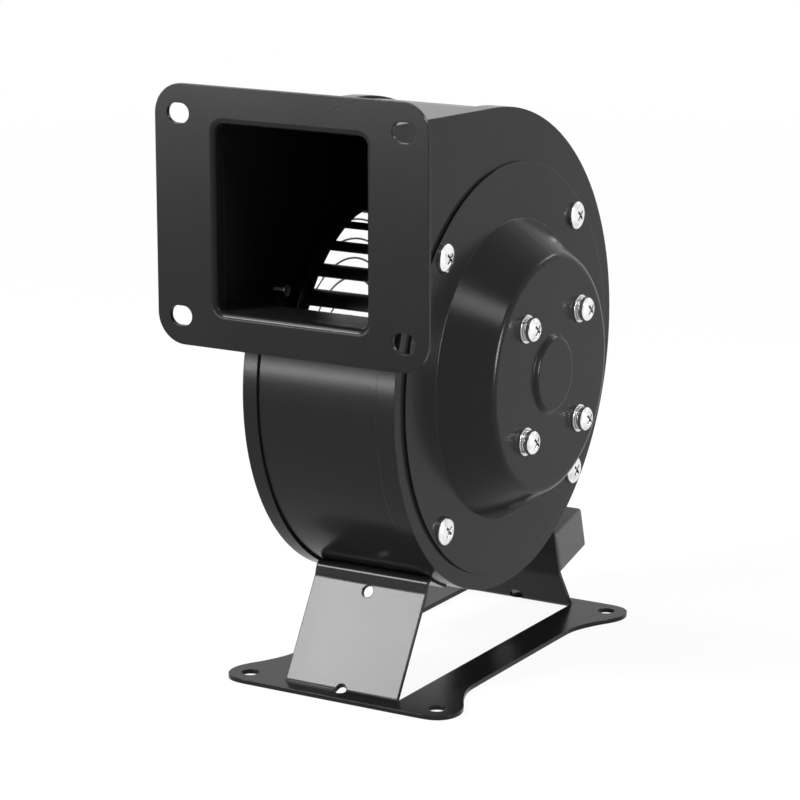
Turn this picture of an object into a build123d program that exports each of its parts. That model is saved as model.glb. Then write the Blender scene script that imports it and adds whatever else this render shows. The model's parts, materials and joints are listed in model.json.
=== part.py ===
from build123d import *
from math import atan2, cos, degrees, radians, sin, sqrt, tan
import os

os.makedirs("parts", exist_ok=True)

# Centrifugal fan in millimetres. X runs along the fan axis towards the motor,
# the outlet faces -Y and +Z is up. The origin is the centre of the base hole
# pattern, on the surface that the base stands on.

# Sheet gauges
base_gauge = 1.5
plate_gauge = 0.8
wrap_gauge = 0.8
cover_gauge = 1.0
flange_gauge = 1.5

# Fits
sheet_gap = 0.05
running_gap = 0.05
air_gap = 0.3
screw_clearance = 0.25

# Fan axis and scroll, a volute of three tangent arcs
axis_height = 102.0
crest_radius = 91.6
crest_centre_y = -13.4
crest_centre_rise = -2.25
rear_radius = 81.2
rear_join_angle = 45.4
front_radius = 73.5
front_join_angle = -55.4
roof_slope = 2.2
tongue_rise = 28.3
plate_outer_x = 28.5
motor_rim_width = 6.8
inlet_rim_width = 5.3

# Outlet duct and flange
flange_front_y = -91.0
flange_width = 100.0
flange_height = 84.0
flange_corner = 10.0
flange_slot_length = 8.4
flange_slot_width = 6.5
flange_slot_margin_x = 8.75
flange_slot_margin_z = 9.4
window_height = 60.2
lip_radius = 2.0
collar_depth = 5.0
collar_corner = 3.0
tongue_fillet = 3.0

# Openings in the side plates
motor_opening_radius = 58.5
inlet_throat_radius = 50.0
inlet_lip_radius = 3.5

# Motor cover
cover_radius = 69.7
dish_foot_radius = 50.5
dish_top_radius = 39.4
dish_height = 15.6
dish_foot_bend = 1.0
dish_top_bend = 2.6
boss_bend = 0.7
boss_radius = 12.5
boss_height = 1.4
cover_circle_radius = 64.0
motor_circle_radius = 26.8

# Base bracket
base_half_length = 70.5
base_bar_outer_x = 35.6
base_hole_x = 36.2
base_hole_y = 61.0
base_hole_radius = 3.0
ear_radius = 9.5
ear_neck_x = 33.5
ear_neck_y = 50.0
ear_fillet = 16.0
leg_width = 43.0
foot_overlap = 4.0
bend_start = 1.2
foot_bend = 2.6
leg_knee_bend = 8.0
saddle_bend = 2.2
saddle_length = 13.0
front_leg_corner_y = -61.5
front_leg_knee_y = -42.4
front_leg_knee_drop = 68.9
front_saddle_angle = -117.0
rear_leg_corner_y = 62.4
rear_leg_knee_y = 53.1
rear_leg_knee_share = 0.497
rear_leg_upper_y = 48.9
rear_leg_upper_drop = 71.8
rear_saddle_angle = -56.0
access_hole_radius = 2.1
access_hole_drop = 2.6
rear_foot_hole_radius = 2.9
rear_foot_hole_rise = 1.6
rivet_pitch = 26.0
rivet_radius = 1.6
rivet_head_radius = 3.1
rivet_head_height = 1.0
rivet_crown_share = 0.8
rivet_crown_rise = 0.7
rivet_mandrel_radius = 0.9
rivet_bulb_radius = 2.4
rivet_bulb_height = 1.4
seat_relief = 0.15

# Run capacitor behind the rear leg
capacitor_length = 38.0
capacitor_height = 15.6
capacitor_depth = 20.5
capacitor_corner = 1.2
stud_radius = 2.0
stud_length = 8.0
nut_height = 3.2
nut_flats = 7.0
nut_washer_radius = 4.5

# Screws
screw_radius = 2.0
cover_head_radius = 4.8
cover_head_height = 2.4
cover_screw_length = 7.0
motor_head_radius = 4.0
motor_head_height = 3.0
washer_radius = 4.7
washer_thickness = 0.8
spring_radius = 3.7
spring_thickness = 1.1
spring_split_tilt = 25.0
recess_span = 4.4
recess_width = 1.0
recess_depth = 1.5
recess_taper = 12.0
head_edge_share = 0.4
corner_count = 4
corner_angle = 45.0
guard_head_radius = 4.0
guard_head_height = 2.6
guard_screw_length = 4.0

# Impeller
wheel_radius = 57.0
blade_inner_radius = 52.0
blade_count = 34
blade_gauge = 0.8
blade_turn = 7.3
blade_sag = 1.3
blade_first_angle = 7.9
blade_tip_margin = 0.5
wheel_inlet_x = -22.0
wheel_motor_x = 19.0
ring_inner_radius = 52.5
ring_gauge = 1.0
disc_gauge = 1.0
disc_floor_x = 1.5
disc_floor_radius = 37.0
disc_rim_radius = 43.0
disc_bend = 2.5
hub_radius = 8.0
hub_flange_radius = 15.0
hub_flange_thickness = 2.0
hub_inlet_x = -9.0
hub_circle_radius = 11.6
hub_rivet_count = 4
hub_rivet_radius = 1.5
hub_rivet_head_radius = 2.4
hub_rivet_head = 0.9
hub_spigot = 3.0
hub_bevel = 0.6
set_screw_radius = 2.0
set_screw_flats = 2.0

# Motor
shaft_radius = 4.0
shaft_inlet_x = -10.5
shaft_rear_x = 43.8
bracket_radius = 35.0
bracket_gauge = 2.0
bracket_front_x = 4.6
bracket_wall = 1.8
bearing_radius = 9.5
bearing_width = 6.0
cup_wall = 1.5
bracket_bore_radius = 6.0
vent_circle_radius = 18.0
bracket_vent_count = 6
bracket_vent_radius = 3.2
bearing_recess = 0.3
rear_spigot = 1.2
bearing_race = 1.3
shield_depth = 0.4
stack_front_x = 16.0
stack_length = 17.0
stator_bore_radius = 17.0
slot_count = 24
slot_depth = 6.0
slot_width = 2.6
slot_mouth = 1.0
slot_lip = 1.0
slot_corner = 0.6
slot_liner = 0.15
winding_reach = 6.6
rotor_ring_length = 2.6
rotor_ring_wall = 7.0
rotor_ring_step = 0.6
shaft_chamfer = 0.5
shaft_flat = 0.5
clip_groove = 0.5
clip_mouth = 4.0
clip_thickness = 0.8
clip_height = 1.4

# Inlet guard, welded from wire
guard_ring_pitch = 6.7
guard_first_radius = 11.0
guard_ring_count = 7
guard_wire_radius = 0.4
guard_standoff = 6.5
guard_foot_radius = 60.5
guard_spoke_count = 3
guard_spoke_angle = 30.0
guard_weld = 0.15
guard_bend = 3.0
guard_bend_radius = 1.0
guard_eye_radius = 4.2
guard_eye_thickness = 1.2

# Grommet in the rear of the wrapper
grommet_angle = -22.0
grommet_radius = 5.5
grommet_bore = 2.6
grommet_neck_radius = 4.0
grommet_lip = 1.4

# Places worked out from the sizes above
crest_centre = (crest_centre_y, axis_height + crest_centre_rise)


def polar(centre, radius, angle):
    """Point at a radius and an angle in degrees from a (y, z) centre."""
    return (centre[0] + radius * cos(radians(angle)), centre[1] + radius * sin(radians(angle)))


rear_centre = polar(crest_centre, crest_radius - rear_radius, rear_join_angle)
front_centre = polar(rear_centre, rear_radius - front_radius, front_join_angle)
tongue_z = axis_height + tongue_rise
duct_front_y = flange_front_y + collar_depth
cover_back_x = plate_outer_x
cover_face_x = cover_back_x + cover_gauge
dish_face_x = cover_face_x + dish_height
dish_inner_x = dish_face_x - cover_gauge
boss_face_x = dish_face_x + boss_height
leg_half = leg_width / 2
wrap_surface = plate_gauge + wrap_gauge
duct_floor_z = tongue_z + wrap_surface
flange_centre_z = duct_floor_z + window_height / 2
stack_rear_x = stack_front_x + stack_length
hub_flange_x = disc_floor_x - hub_flange_thickness


def across(x):
    """Sketch plane across the fan axis at x, with its own origin on the axis."""
    return Plane((x, 0, axis_height), x_dir=(0, 1, 0), z_dir=(1, 0, 0))


def section(x):
    """Sketch plane at x whose coordinates are the part's y and z."""
    return Plane((x, 0, 0), x_dir=(0, 1, 0), z_dir=(1, 0, 0))


axial = Plane((0, 0, axis_height), x_dir=(1, 0, 0), z_dir=(0, -1, 0))
fan_axis = Axis((0, 0, axis_height), (1, 0, 0))


def save(part, name):
    """Label a finished piece and write it."""
    part.label = name
    export_step(part, f"parts/{name}.step")


def scroll_outline(inset):
    """Closed scroll outline, inset from the outside of the rims, open towards the duct."""
    front_r = front_radius - inset
    floor_z = tongue_z + inset
    rise = floor_z - front_centre[1]
    tongue_y = front_centre[0] - sqrt(front_r**2 - rise**2)
    tongue_angle = degrees(atan2(rise, tongue_y - front_centre[0])) % 360
    crest_angle = 90 - roof_slope
    crest = polar(crest_centre, crest_radius - inset, crest_angle)
    roof_start = (duct_front_y, crest[1] + (crest[0] - duct_front_y) * tan(radians(roof_slope)))
    with BuildLine() as line:
        Line(roof_start, crest)
        CenterArc(crest_centre, crest_radius - inset, crest_angle, rear_join_angle - crest_angle)
        CenterArc(rear_centre, rear_radius - inset, rear_join_angle, front_join_angle - rear_join_angle)
        CenterArc(front_centre, front_r, front_join_angle, tongue_angle - 360 - front_join_angle)
        Line((tongue_y, floor_z), (duct_front_y, floor_z))
        Line((duct_front_y, floor_z), roof_start)
    return line.line


def tongue_vertices(sketch, inset):
    """The corner where the volute meets the duct floor."""
    floor_z = tongue_z + inset
    return [
        v for v in sketch.vertices() if abs(v.Y - floor_z) < 0.01 and v.X > duct_front_y + tongue_fillet
    ]


def scroll_face(inset):
    """Scroll outline as a filled sketch with a rounded tongue."""
    with BuildSketch() as sketch:
        with BuildLine():
            add(scroll_outline(inset))
        make_face()
        fillet(tongue_vertices(sketch, inset), tongue_fillet + inset)
    return sketch.sketch


outer_face = scroll_face(0)
rim_face = scroll_face(plate_gauge)
wrap_face = scroll_face(plate_gauge + sheet_gap)
air_face = scroll_face(wrap_surface)


def side_pan(face_x, rim_x, opening_radius):
    """Side plate: a flat scroll face with its rim folded over the wrapper."""
    inner_x = face_x - plate_gauge if face_x > rim_x else face_x + plate_gauge
    low, high = sorted((face_x, rim_x))
    face_low, face_high = sorted((face_x, inner_x))
    with BuildPart() as pan:
        with BuildSketch(section(low)):
            add(outer_face)
            add(rim_face, mode=Mode.SUBTRACT)
        extrude(amount=high - low)
        with BuildSketch(section(face_low)):
            add(outer_face)
        extrude(amount=face_high - face_low)
        with BuildSketch(across(face_low)):
            Circle(opening_radius)
        extrude(amount=face_high - face_low, mode=Mode.SUBTRACT)
    return pan.part


# Outlet flange with its drawn collar and rolled lip
window_width = 2 * (plate_outer_x - plate_gauge)
flange_plane = Plane((0, flange_front_y, flange_centre_z), x_dir=(1, 0, 0), z_dir=(0, 1, 0))
with BuildPart() as outlet_flange:
    with BuildSketch(flange_plane):
        RectangleRounded(flange_width, flange_height, flange_corner)
    extrude(amount=flange_gauge)
    with BuildSketch(flange_plane):
        RectangleRounded(
            window_width + 2 * flange_gauge, window_height + 2 * flange_gauge, collar_corner + flange_gauge
        )
    extrude(amount=collar_depth)
    with BuildSketch(flange_plane):
        RectangleRounded(window_width, window_height, collar_corner)
    extrude(amount=collar_depth, mode=Mode.SUBTRACT)
    fillet(outlet_flange.faces().sort_by(Axis.Y)[0].inner_wires()[0].edges(), lip_radius)
    with BuildSketch(flange_plane):
        with GridLocations(
            flange_width - 2 * flange_slot_margin_x, flange_height - 2 * flange_slot_margin_z, 2, 2
        ):
            SlotOverall(flange_slot_length, flange_slot_width)
    extrude(amount=flange_gauge, mode=Mode.SUBTRACT)
save(outlet_flange.part, "outlet_flange")


def seat_plane(x, centre, radius, angle):
    """Plane on the wrapper whose Z points out of the scroll."""
    at = polar(centre, radius - plate_gauge - sheet_gap, angle)
    return Plane((x, at[0], at[1]), x_dir=(1, 0, 0), z_dir=(0, cos(radians(angle)), sin(radians(angle))))


front_seat = (front_centre, front_radius, front_saddle_angle)
rear_seat = (front_centre, front_radius, rear_saddle_angle)
rivet_planes = [
    seat_plane(side * rivet_pitch / 2, *seat) for seat in (front_seat, rear_seat) for side in (-1, 1)
]
grommet_plane = seat_plane(0, rear_centre, rear_radius, grommet_angle)

# Scroll wrapper: one strip from the duct roof round to the duct floor
wrap_half = plate_outer_x - plate_gauge
with BuildPart() as scroll_wrapper:
    with BuildSketch(section(-wrap_half)):
        add(wrap_face)
        add(air_face, mode=Mode.SUBTRACT)
    extrude(amount=2 * wrap_half)
    with Locations(grommet_plane.offset(wrap_gauge)):
        Hole(grommet_neck_radius + sheet_gap, depth=3 * wrap_gauge)
    for plane in rivet_planes:
        with Locations(plane.offset(wrap_gauge)):
            Hole(rivet_radius, depth=3 * wrap_gauge)
save(scroll_wrapper.part, "scroll_wrapper")

# Side plates
motor_pan = side_pan(plate_outer_x, plate_outer_x - motor_rim_width, motor_opening_radius)
with BuildPart() as motor_side_plate:
    add(motor_pan)
    with Locations(across(plate_outer_x)):
        with PolarLocations(cover_circle_radius, corner_count, corner_angle):
            Hole(screw_radius + sheet_gap, depth=2 * plate_gauge)
save(motor_side_plate.part, "motor_side_plate")

# Inlet side plate with the bellmouth drawn in round its opening
bell_outer = inlet_lip_radius + plate_gauge
bell_centre = (bell_outer - plate_outer_x, inlet_throat_radius + bell_outer)
inlet_pan = side_pan(-plate_outer_x, inlet_rim_width - plate_outer_x, inlet_throat_radius + bell_outer)
with BuildPart() as inlet_side_plate:
    add(inlet_pan)
    with BuildSketch(axial):
        with BuildLine():
            outer_arc = CenterArc(bell_centre, bell_outer, 180, 90)
            inner_arc = CenterArc(bell_centre, inlet_lip_radius, 180, 90)
            Line(outer_arc @ 0, inner_arc @ 0)
            Line(outer_arc @ 1, inner_arc @ 1)
        make_face()
    revolve(axis=fan_axis)
    with Locations(across(-plate_outer_x)):
        with PolarLocations(guard_foot_radius, guard_spoke_count, guard_spoke_angle):
            Hole(screw_radius + sheet_gap, depth=2 * plate_gauge)
save(inlet_side_plate.part, "inlet_side_plate")


def pan_screw(head_radius, head_height, length, shank_radius=screw_radius):
    """Pan-head screw along +Z with the underside of its head at Z = 0."""
    edge_height = head_height * head_edge_share
    with BuildPart() as screw:
        with BuildSketch(Plane.XZ):
            with BuildLine():
                Polyline(
                    (head_radius, edge_height),
                    (head_radius, 0),
                    (shank_radius, 0),
                    (shank_radius, -length),
                    (0, -length),
                    (0, head_height),
                )
                EllipticalCenterArc(
                    (0, edge_height), head_radius, head_height - edge_height, start_angle=0, arc_size=90
                )
            make_face()
        revolve(axis=Axis.Z)
        with BuildSketch(Plane.XY.offset(head_height)):
            Rectangle(recess_span, recess_width)
            Rectangle(recess_width, recess_span)
        extrude(amount=-recess_depth, taper=recess_taper, mode=Mode.SUBTRACT)
    return screw.part


def group_across(piece, x, circle, count, angle):
    """Copies of a piece that point along +X, on a circle about the fan axis."""
    with BuildPart() as group:
        with Locations(across(x)):
            with PolarLocations(circle, count, angle):
                add(piece)
    return group.part


def on_corners(piece, x, circle):
    """Copies of a piece that point along +X, at the corners of the motor's square."""
    return group_across(piece, x, circle, corner_count, corner_angle)


def disc_ring(outer_radius, inner_radius, thickness):
    """Flat ring that rises from Z = 0."""
    with BuildPart() as ring:
        with BuildSketch():
            Circle(outer_radius)
            Circle(inner_radius, mode=Mode.SUBTRACT)
        extrude(amount=thickness)
    return ring.part


# Motor cover, a dished disc with a small boss
mid_x = cover_back_x + cover_gauge / 2
dish_mid_x = dish_face_x - cover_gauge / 2
boss_mid_x = boss_face_x - cover_gauge / 2
with BuildPart() as motor_cover:
    with BuildSketch(axial):
        with BuildLine():
            FilletPolyline(
                (mid_x, cover_radius),
                (mid_x, dish_foot_radius),
                (dish_mid_x, dish_top_radius),
                (dish_mid_x, boss_radius + cover_gauge),
                (boss_mid_x, boss_radius - cover_gauge / 2),
                (boss_mid_x, 0),
                radius=[dish_foot_bend, dish_top_bend, boss_bend, boss_bend],
            )
        trace(line_width=cover_gauge)
    revolve(axis=fan_axis)
    with Locations(across(cover_face_x)):
        with PolarLocations(cover_circle_radius, corner_count, corner_angle):
            Hole(screw_radius + screw_clearance, depth=2 * cover_gauge)
    with Locations(across(dish_face_x)):
        with PolarLocations(motor_circle_radius, corner_count, corner_angle):
            Hole(screw_radius + screw_clearance, depth=2 * cover_gauge)
save(motor_cover.part, "motor_cover")

cover_screw = pan_screw(cover_head_radius, cover_head_height, cover_screw_length)
save(on_corners(cover_screw, cover_face_x, cover_circle_radius), "cover_screws")

# Motor screws, with their washers on the raised face
spring_x = dish_face_x + washer_thickness
motor_head_x = spring_x + spring_thickness
flat_washer = disc_ring(washer_radius, screw_radius + screw_clearance, washer_thickness)
with BuildPart() as spring_washer:
    add(disc_ring(spring_radius, screw_radius + screw_clearance, spring_thickness))
    with Locations((spring_radius, 0, spring_thickness / 2)):
        Box(
            spring_radius,
            spring_thickness / 2,
            2 * spring_thickness,
            rotation=(spring_split_tilt, 0, 0),
            mode=Mode.SUBTRACT,
        )
motor_screw = pan_screw(motor_head_radius, motor_head_height, motor_head_x - bracket_front_x)
save(on_corners(flat_washer, dish_face_x, motor_circle_radius), "motor_flat_washers")
save(on_corners(spring_washer.part, spring_x, motor_circle_radius), "motor_spring_washers")
save(on_corners(motor_screw, motor_head_x, motor_circle_radius), "motor_screws")


# Base bracket: a ring with four ears, and two legs bent up out of its window
def leg_path(corner_y, knees, centre, radius, angle, side):
    """Middle line of a leg, from inside the base bar to the end of its saddle."""
    normal = (cos(radians(angle)), sin(radians(angle)))
    along = (-side * normal[1], side * normal[0])
    seat = polar(centre, radius - plate_gauge - sheet_gap + base_gauge / 2, angle)
    half = saddle_length / 2
    foot_z = base_gauge / 2
    foot_y = corner_y - side * foot_overlap
    top = (seat[0] - half * along[0], seat[1] - half * along[1])
    end = (seat[0] + half * along[0], seat[1] + half * along[1])
    bends = [foot_bend] + [leg_knee_bend] * len(knees) + [saddle_bend]
    return FilletPolyline((foot_y, foot_z), (corner_y, foot_z), *knees, top, end, radius=bends)


front_knee = (front_leg_knee_y, axis_height - front_leg_knee_drop)
rear_upper = (rear_leg_upper_y, axis_height - rear_leg_upper_drop)
rear_knee = (rear_leg_knee_y, rear_upper[1] * rear_leg_knee_share)
window_front_y = front_leg_corner_y - bend_start
window_rear_y = rear_leg_corner_y + bend_start
front_leg_turn = atan2(front_knee[1] - base_gauge / 2, front_knee[0] - front_leg_corner_y)
access_y = front_knee[0] - access_hole_drop * cos(front_leg_turn)
access_z = front_knee[1] - access_hole_drop * sin(front_leg_turn)
front_access = Plane(
    (0, access_y, access_z), x_dir=(1, 0, 0), z_dir=(0, -sin(front_leg_turn), cos(front_leg_turn))
)
front_foot = Plane(
    (0, front_leg_corner_y, base_gauge / 2),
    x_dir=(1, 0, 0),
    z_dir=(0, -sin(front_leg_turn / 2), cos(front_leg_turn / 2)),
)
rear_leg_turn = atan2(rear_knee[1] - base_gauge / 2, rear_leg_corner_y - rear_knee[0])
rear_foot = Plane(
    (
        0,
        rear_leg_corner_y - rear_foot_hole_rise * cos(rear_leg_turn),
        base_gauge / 2 + rear_foot_hole_rise * sin(rear_leg_turn),
    ),
    x_dir=(1, 0, 0),
    z_dir=(0, sin(rear_leg_turn), cos(rear_leg_turn)),
)
capacitor_tilt = atan2(rear_upper[1] - rear_knee[1], rear_upper[0] - rear_knee[0])
capacitor_out = (sin(capacitor_tilt), -cos(capacitor_tilt))
capacitor_x = leg_half - capacitor_length / 2
capacitor_seat_y = (rear_knee[0] + rear_upper[0]) / 2 + capacitor_out[0] * base_gauge / 2
capacitor_seat_z = (rear_knee[1] + rear_upper[1]) / 2 + capacitor_out[1] * base_gauge / 2
capacitor_plane = Plane(
    (capacitor_x, capacitor_seat_y, capacitor_seat_z), x_dir=(1, 0, 0), z_dir=(0, *capacitor_out)
)
with BuildPart() as base_bracket:
    with BuildSketch() as base_outline:
        Rectangle(2 * base_bar_outer_x, 2 * base_half_length)
        for sx in (-1, 1):
            for sy in (-1, 1):
                with BuildSketch(mode=Mode.PRIVATE) as ear:
                    for x, y in ((base_hole_x, base_hole_y), (ear_neck_x, ear_neck_y)):
                        with Locations((sx * x, sy * y)):
                            Circle(ear_radius)
                    make_hull()
                add(ear)
        necks = [
            v
            for v in base_outline.vertices()
            if abs(abs(v.X) - base_bar_outer_x) < 0.01 and abs(v.Y) < ear_neck_y
        ]
        fillet(necks, ear_fillet)
        with GridLocations(2 * base_hole_x, 2 * base_hole_y, 2, 2):
            Circle(base_hole_radius, mode=Mode.SUBTRACT)
        with Locations((0, (window_front_y + window_rear_y) / 2)):
            Rectangle(leg_width, window_rear_y - window_front_y, mode=Mode.SUBTRACT)
    extrude(amount=base_gauge)
    with BuildSketch(section(-leg_half)):
        with BuildLine():
            leg_path(front_leg_corner_y, [front_knee], *front_seat, 1)
        trace(line_width=base_gauge)
    extrude(amount=leg_width)
    with BuildSketch(section(-leg_half)):
        with BuildLine():
            leg_path(rear_leg_corner_y, [rear_knee, rear_upper], *rear_seat, -1)
        trace(line_width=base_gauge)
    extrude(amount=leg_width)
    for plane in rivet_planes:
        with Locations(plane.offset(2 * base_gauge)):
            Hole(rivet_radius, depth=2 * base_gauge)
    for plane in (front_access, front_foot):
        with Locations(plane.offset(2 * base_gauge)):
            Hole(access_hole_radius, depth=4 * base_gauge)
    with Locations(rear_foot.offset(2 * base_gauge)):
        Hole(rear_foot_hole_radius, depth=4 * base_gauge)
    with Locations(capacitor_plane):
        Hole(stud_radius + screw_clearance, depth=3 * base_gauge)
save(base_bracket.part, "base_bracket")

# Rivets through the saddles and the wrapper
with BuildPart() as rivet:
    with BuildSketch(Plane.XZ):
        with BuildLine():
            Polyline(
                (0, -wrap_gauge - rivet_bulb_height),
                (rivet_bulb_radius, -wrap_gauge - rivet_bulb_height),
                (rivet_bulb_radius, -wrap_gauge - seat_relief),
                (rivet_radius, -wrap_gauge - seat_relief),
                (rivet_radius, base_gauge),
                (rivet_head_radius, base_gauge),
                (rivet_head_radius * rivet_crown_share, base_gauge + rivet_head_height * rivet_crown_rise),
                (rivet_mandrel_radius, base_gauge + rivet_head_height),
                (rivet_mandrel_radius, base_gauge),
                (0, base_gauge),
                close=True,
            )
        make_face()
    revolve(axis=Axis.Z)
with BuildPart() as leg_rivets:
    with Locations(*rivet_planes):
        add(rivet.part)
save(leg_rivets.part, "leg_rivets")

# Run capacitor, its stud, washer and nut
with BuildPart() as capacitor:
    with BuildSketch(capacitor_plane):
        Rectangle(capacitor_length, capacitor_height)
    extrude(amount=capacitor_depth)
    fillet(capacitor.edges(), capacitor_corner)
    with BuildSketch(capacitor_plane):
        Circle(stud_radius)
    extrude(amount=-stud_length)
save(capacitor.part, "capacitor")

nut_plane = capacitor_plane.offset(-base_gauge)
with BuildPart() as capacitor_washer:
    with BuildSketch(nut_plane):
        Circle(nut_washer_radius)
        Circle(stud_radius + screw_clearance, mode=Mode.SUBTRACT)
    extrude(amount=-washer_thickness)
save(capacitor_washer.part, "capacitor_washer")

with BuildPart() as capacitor_nut:
    with BuildSketch(nut_plane.offset(-washer_thickness)):
        RegularPolygon(nut_flats / 2, 6, major_radius=False)
        Circle(stud_radius + running_gap, mode=Mode.SUBTRACT)
    extrude(amount=-nut_height)
save(capacitor_nut.part, "capacitor_nut")

# Rubber grommet in the rear of the wrapper
with BuildPart() as cable_grommet:
    with BuildSketch(Plane.XZ):
        with BuildLine():
            Polyline(
                (grommet_bore, -wrap_gauge - grommet_lip),
                (grommet_radius, -wrap_gauge - grommet_lip),
                (grommet_radius, -wrap_gauge - seat_relief),
                (grommet_neck_radius, -wrap_gauge - seat_relief),
                (grommet_neck_radius, seat_relief),
                (grommet_radius, seat_relief),
                (grommet_radius - grommet_lip / 2, grommet_lip),
                (grommet_bore + grommet_lip / 2, grommet_lip),
                (grommet_bore, grommet_lip / 2),
                close=True,
            )
        make_face()
    revolve(axis=Axis.Z)
save(grommet_plane.location * cable_grommet.part, "cable_grommet")


def band(x0, x1, inner, outer, mode=Mode.ADD):
    """Rectangle of the axial section, from x0 to x1 and between two radii."""
    with Locations(((x0 + x1) / 2, (inner + outer) / 2)):
        Rectangle(abs(x1 - x0), outer - inner, mode=mode)


# Motor: two pressed brackets hold the bearings and clamp the stator between them
def bracket(face_x, bearing_x, side, spigot):
    """End bracket whose plate faces away from the stator; side is +1 towards the cover."""
    stack_x = stack_front_x if side < 0 else stack_rear_x
    plate_x = face_x - side * bracket_gauge
    bearing_far_x = bearing_x - side * bearing_width
    with BuildPart() as shell:
        with BuildSketch(axial):
            band(stack_x, face_x, bracket_radius - bracket_wall, bracket_radius)
            band(plate_x, face_x, bracket_bore_radius, bracket_radius)
            band(bearing_far_x, face_x + side * spigot, bracket_bore_radius, bearing_radius + cup_wall)
            band(bearing_far_x, bearing_x, 0, bearing_radius, Mode.SUBTRACT)
        revolve(axis=fan_axis)
        with Locations(across(max(face_x, plate_x))):
            with PolarLocations(motor_circle_radius, corner_count, corner_angle):
                Hole(screw_radius + sheet_gap, depth=bracket_gauge)
            with PolarLocations(vent_circle_radius, bracket_vent_count):
                Hole(bracket_vent_radius, depth=bracket_gauge)
    return shell.part


front_bearing_x = bracket_front_x + bracket_gauge
rear_bearing_x = dish_inner_x - bearing_recess
save(bracket(bracket_front_x, front_bearing_x, -1, 0), "motor_front_bracket")
save(bracket(dish_inner_x, rear_bearing_x, 1, rear_spigot), "motor_rear_bracket")


def bearing(x):
    """Ball bearing seen as one ring with shield grooves, from x towards +X."""
    shield_outer = bearing_radius - bearing_race
    shield_inner = shaft_radius + running_gap + bearing_race
    with BuildPart() as ring:
        with BuildSketch(across(x)):
            Circle(bearing_radius)
            Circle(shaft_radius + running_gap, mode=Mode.SUBTRACT)
        extrude(amount=bearing_width)
        for side_x, amount in ((x, shield_depth), (x + bearing_width, -shield_depth)):
            with BuildSketch(across(side_x)):
                Circle(shield_outer)
                Circle(shield_inner, mode=Mode.SUBTRACT)
            extrude(amount=amount, mode=Mode.SUBTRACT)
    return ring.part


save(bearing(front_bearing_x), "bearing_front")
save(bearing(rear_bearing_x - bearing_width), "bearing_rear")


def slot_shape(width, depth, margin):
    """Winding slot that opens outward from the stator bore, along local X."""
    start = stator_bore_radius + slot_lip + margin
    with BuildSketch() as shape:
        with Locations((start + depth / 2, 0)):
            RectangleRounded(depth, width, slot_corner)
    return shape.sketch


with BuildPart() as stator_core:
    with BuildSketch(across(stack_front_x)):
        Circle(bracket_radius)
        Circle(stator_bore_radius, mode=Mode.SUBTRACT)
        with PolarLocations(0, slot_count, 180 / slot_count):
            add(slot_shape(slot_width, slot_depth, 0), mode=Mode.SUBTRACT)
        with PolarLocations(stator_bore_radius + slot_lip / 2, slot_count, 180 / slot_count):
            Rectangle(slot_lip * 2, slot_mouth, mode=Mode.SUBTRACT)
        with PolarLocations(motor_circle_radius, corner_count, corner_angle):
            Circle(screw_radius + screw_clearance, mode=Mode.SUBTRACT)
    extrude(amount=stack_length)
save(stator_core.part, "stator_core")

coil_inner = stator_bore_radius + slot_lip + slot_liner
coil_outer = coil_inner + slot_depth - 2 * slot_liner
with BuildPart() as stator_windings:
    with BuildSketch(across(stack_front_x)):
        with PolarLocations(0, slot_count, 180 / slot_count):
            add(slot_shape(slot_width - 2 * slot_liner, slot_depth - 2 * slot_liner, slot_liner))
    extrude(amount=stack_length)
    for end_x, side in ((stack_front_x, -1), (stack_rear_x, 1)):
        with BuildSketch(axial):
            with Locations((end_x + side * winding_reach / 2, (coil_inner + coil_outer) / 2)):
                RectangleRounded(winding_reach, coil_outer - coil_inner, slot_corner * 2)
        revolve(axis=fan_axis)
save(stator_windings.part, "stator_windings")

# Rotor
rotor_radius = stator_bore_radius - air_gap
with BuildPart() as rotor_core:
    with BuildSketch(across(stack_front_x)):
        Circle(rotor_radius)
        Circle(shaft_radius, mode=Mode.SUBTRACT)
    extrude(amount=stack_length)
save(rotor_core.part, "rotor_core")

with BuildPart() as rotor_end_rings:
    for end_x, amount in ((stack_front_x, -rotor_ring_length), (stack_rear_x, rotor_ring_length)):
        with BuildSketch(across(end_x)):
            Circle(rotor_radius - rotor_ring_step)
            Circle(rotor_radius - rotor_ring_step - rotor_ring_wall, mode=Mode.SUBTRACT)
        extrude(amount=amount)
save(rotor_end_rings.part, "rotor_end_rings")

shaft_length = shaft_rear_x - shaft_inlet_x
clip_front_x = front_bearing_x + bearing_width + air_gap
clip_rear_x = rear_bearing_x - bearing_width - air_gap - clip_thickness
clip_seat_radius = shaft_radius - clip_groove
with BuildPart() as shaft:
    with BuildSketch(across(shaft_inlet_x)):
        Circle(shaft_radius)
    extrude(amount=shaft_length)
    chamfer(shaft.edges().filter_by(GeomType.CIRCLE), shaft_chamfer)
    with BuildSketch(across(shaft_inlet_x)):
        with Locations((0, shaft_radius)):
            Rectangle(2 * shaft_radius, 2 * shaft_flat, mode=Mode.ADD)
    extrude(amount=hub_flange_x - shaft_inlet_x, mode=Mode.SUBTRACT)
    for groove_x in (clip_front_x, clip_rear_x):
        with BuildSketch(across(groove_x)):
            Circle(shaft_radius)
            Circle(clip_seat_radius, mode=Mode.SUBTRACT)
        extrude(amount=clip_thickness, mode=Mode.SUBTRACT)
save(shaft.part, "shaft")

with BuildPart() as shaft_clips:
    for groove_x in (clip_front_x, clip_rear_x):
        with BuildSketch(across(groove_x)):
            Circle(shaft_radius + clip_height)
            Circle(clip_seat_radius, mode=Mode.SUBTRACT)
            with Locations((0, -shaft_radius - clip_height)):
                Rectangle(clip_mouth, 2 * (shaft_radius + clip_height), mode=Mode.SUBTRACT)
        extrude(amount=clip_thickness)
save(shaft_clips.part, "shaft_clips")

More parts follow.
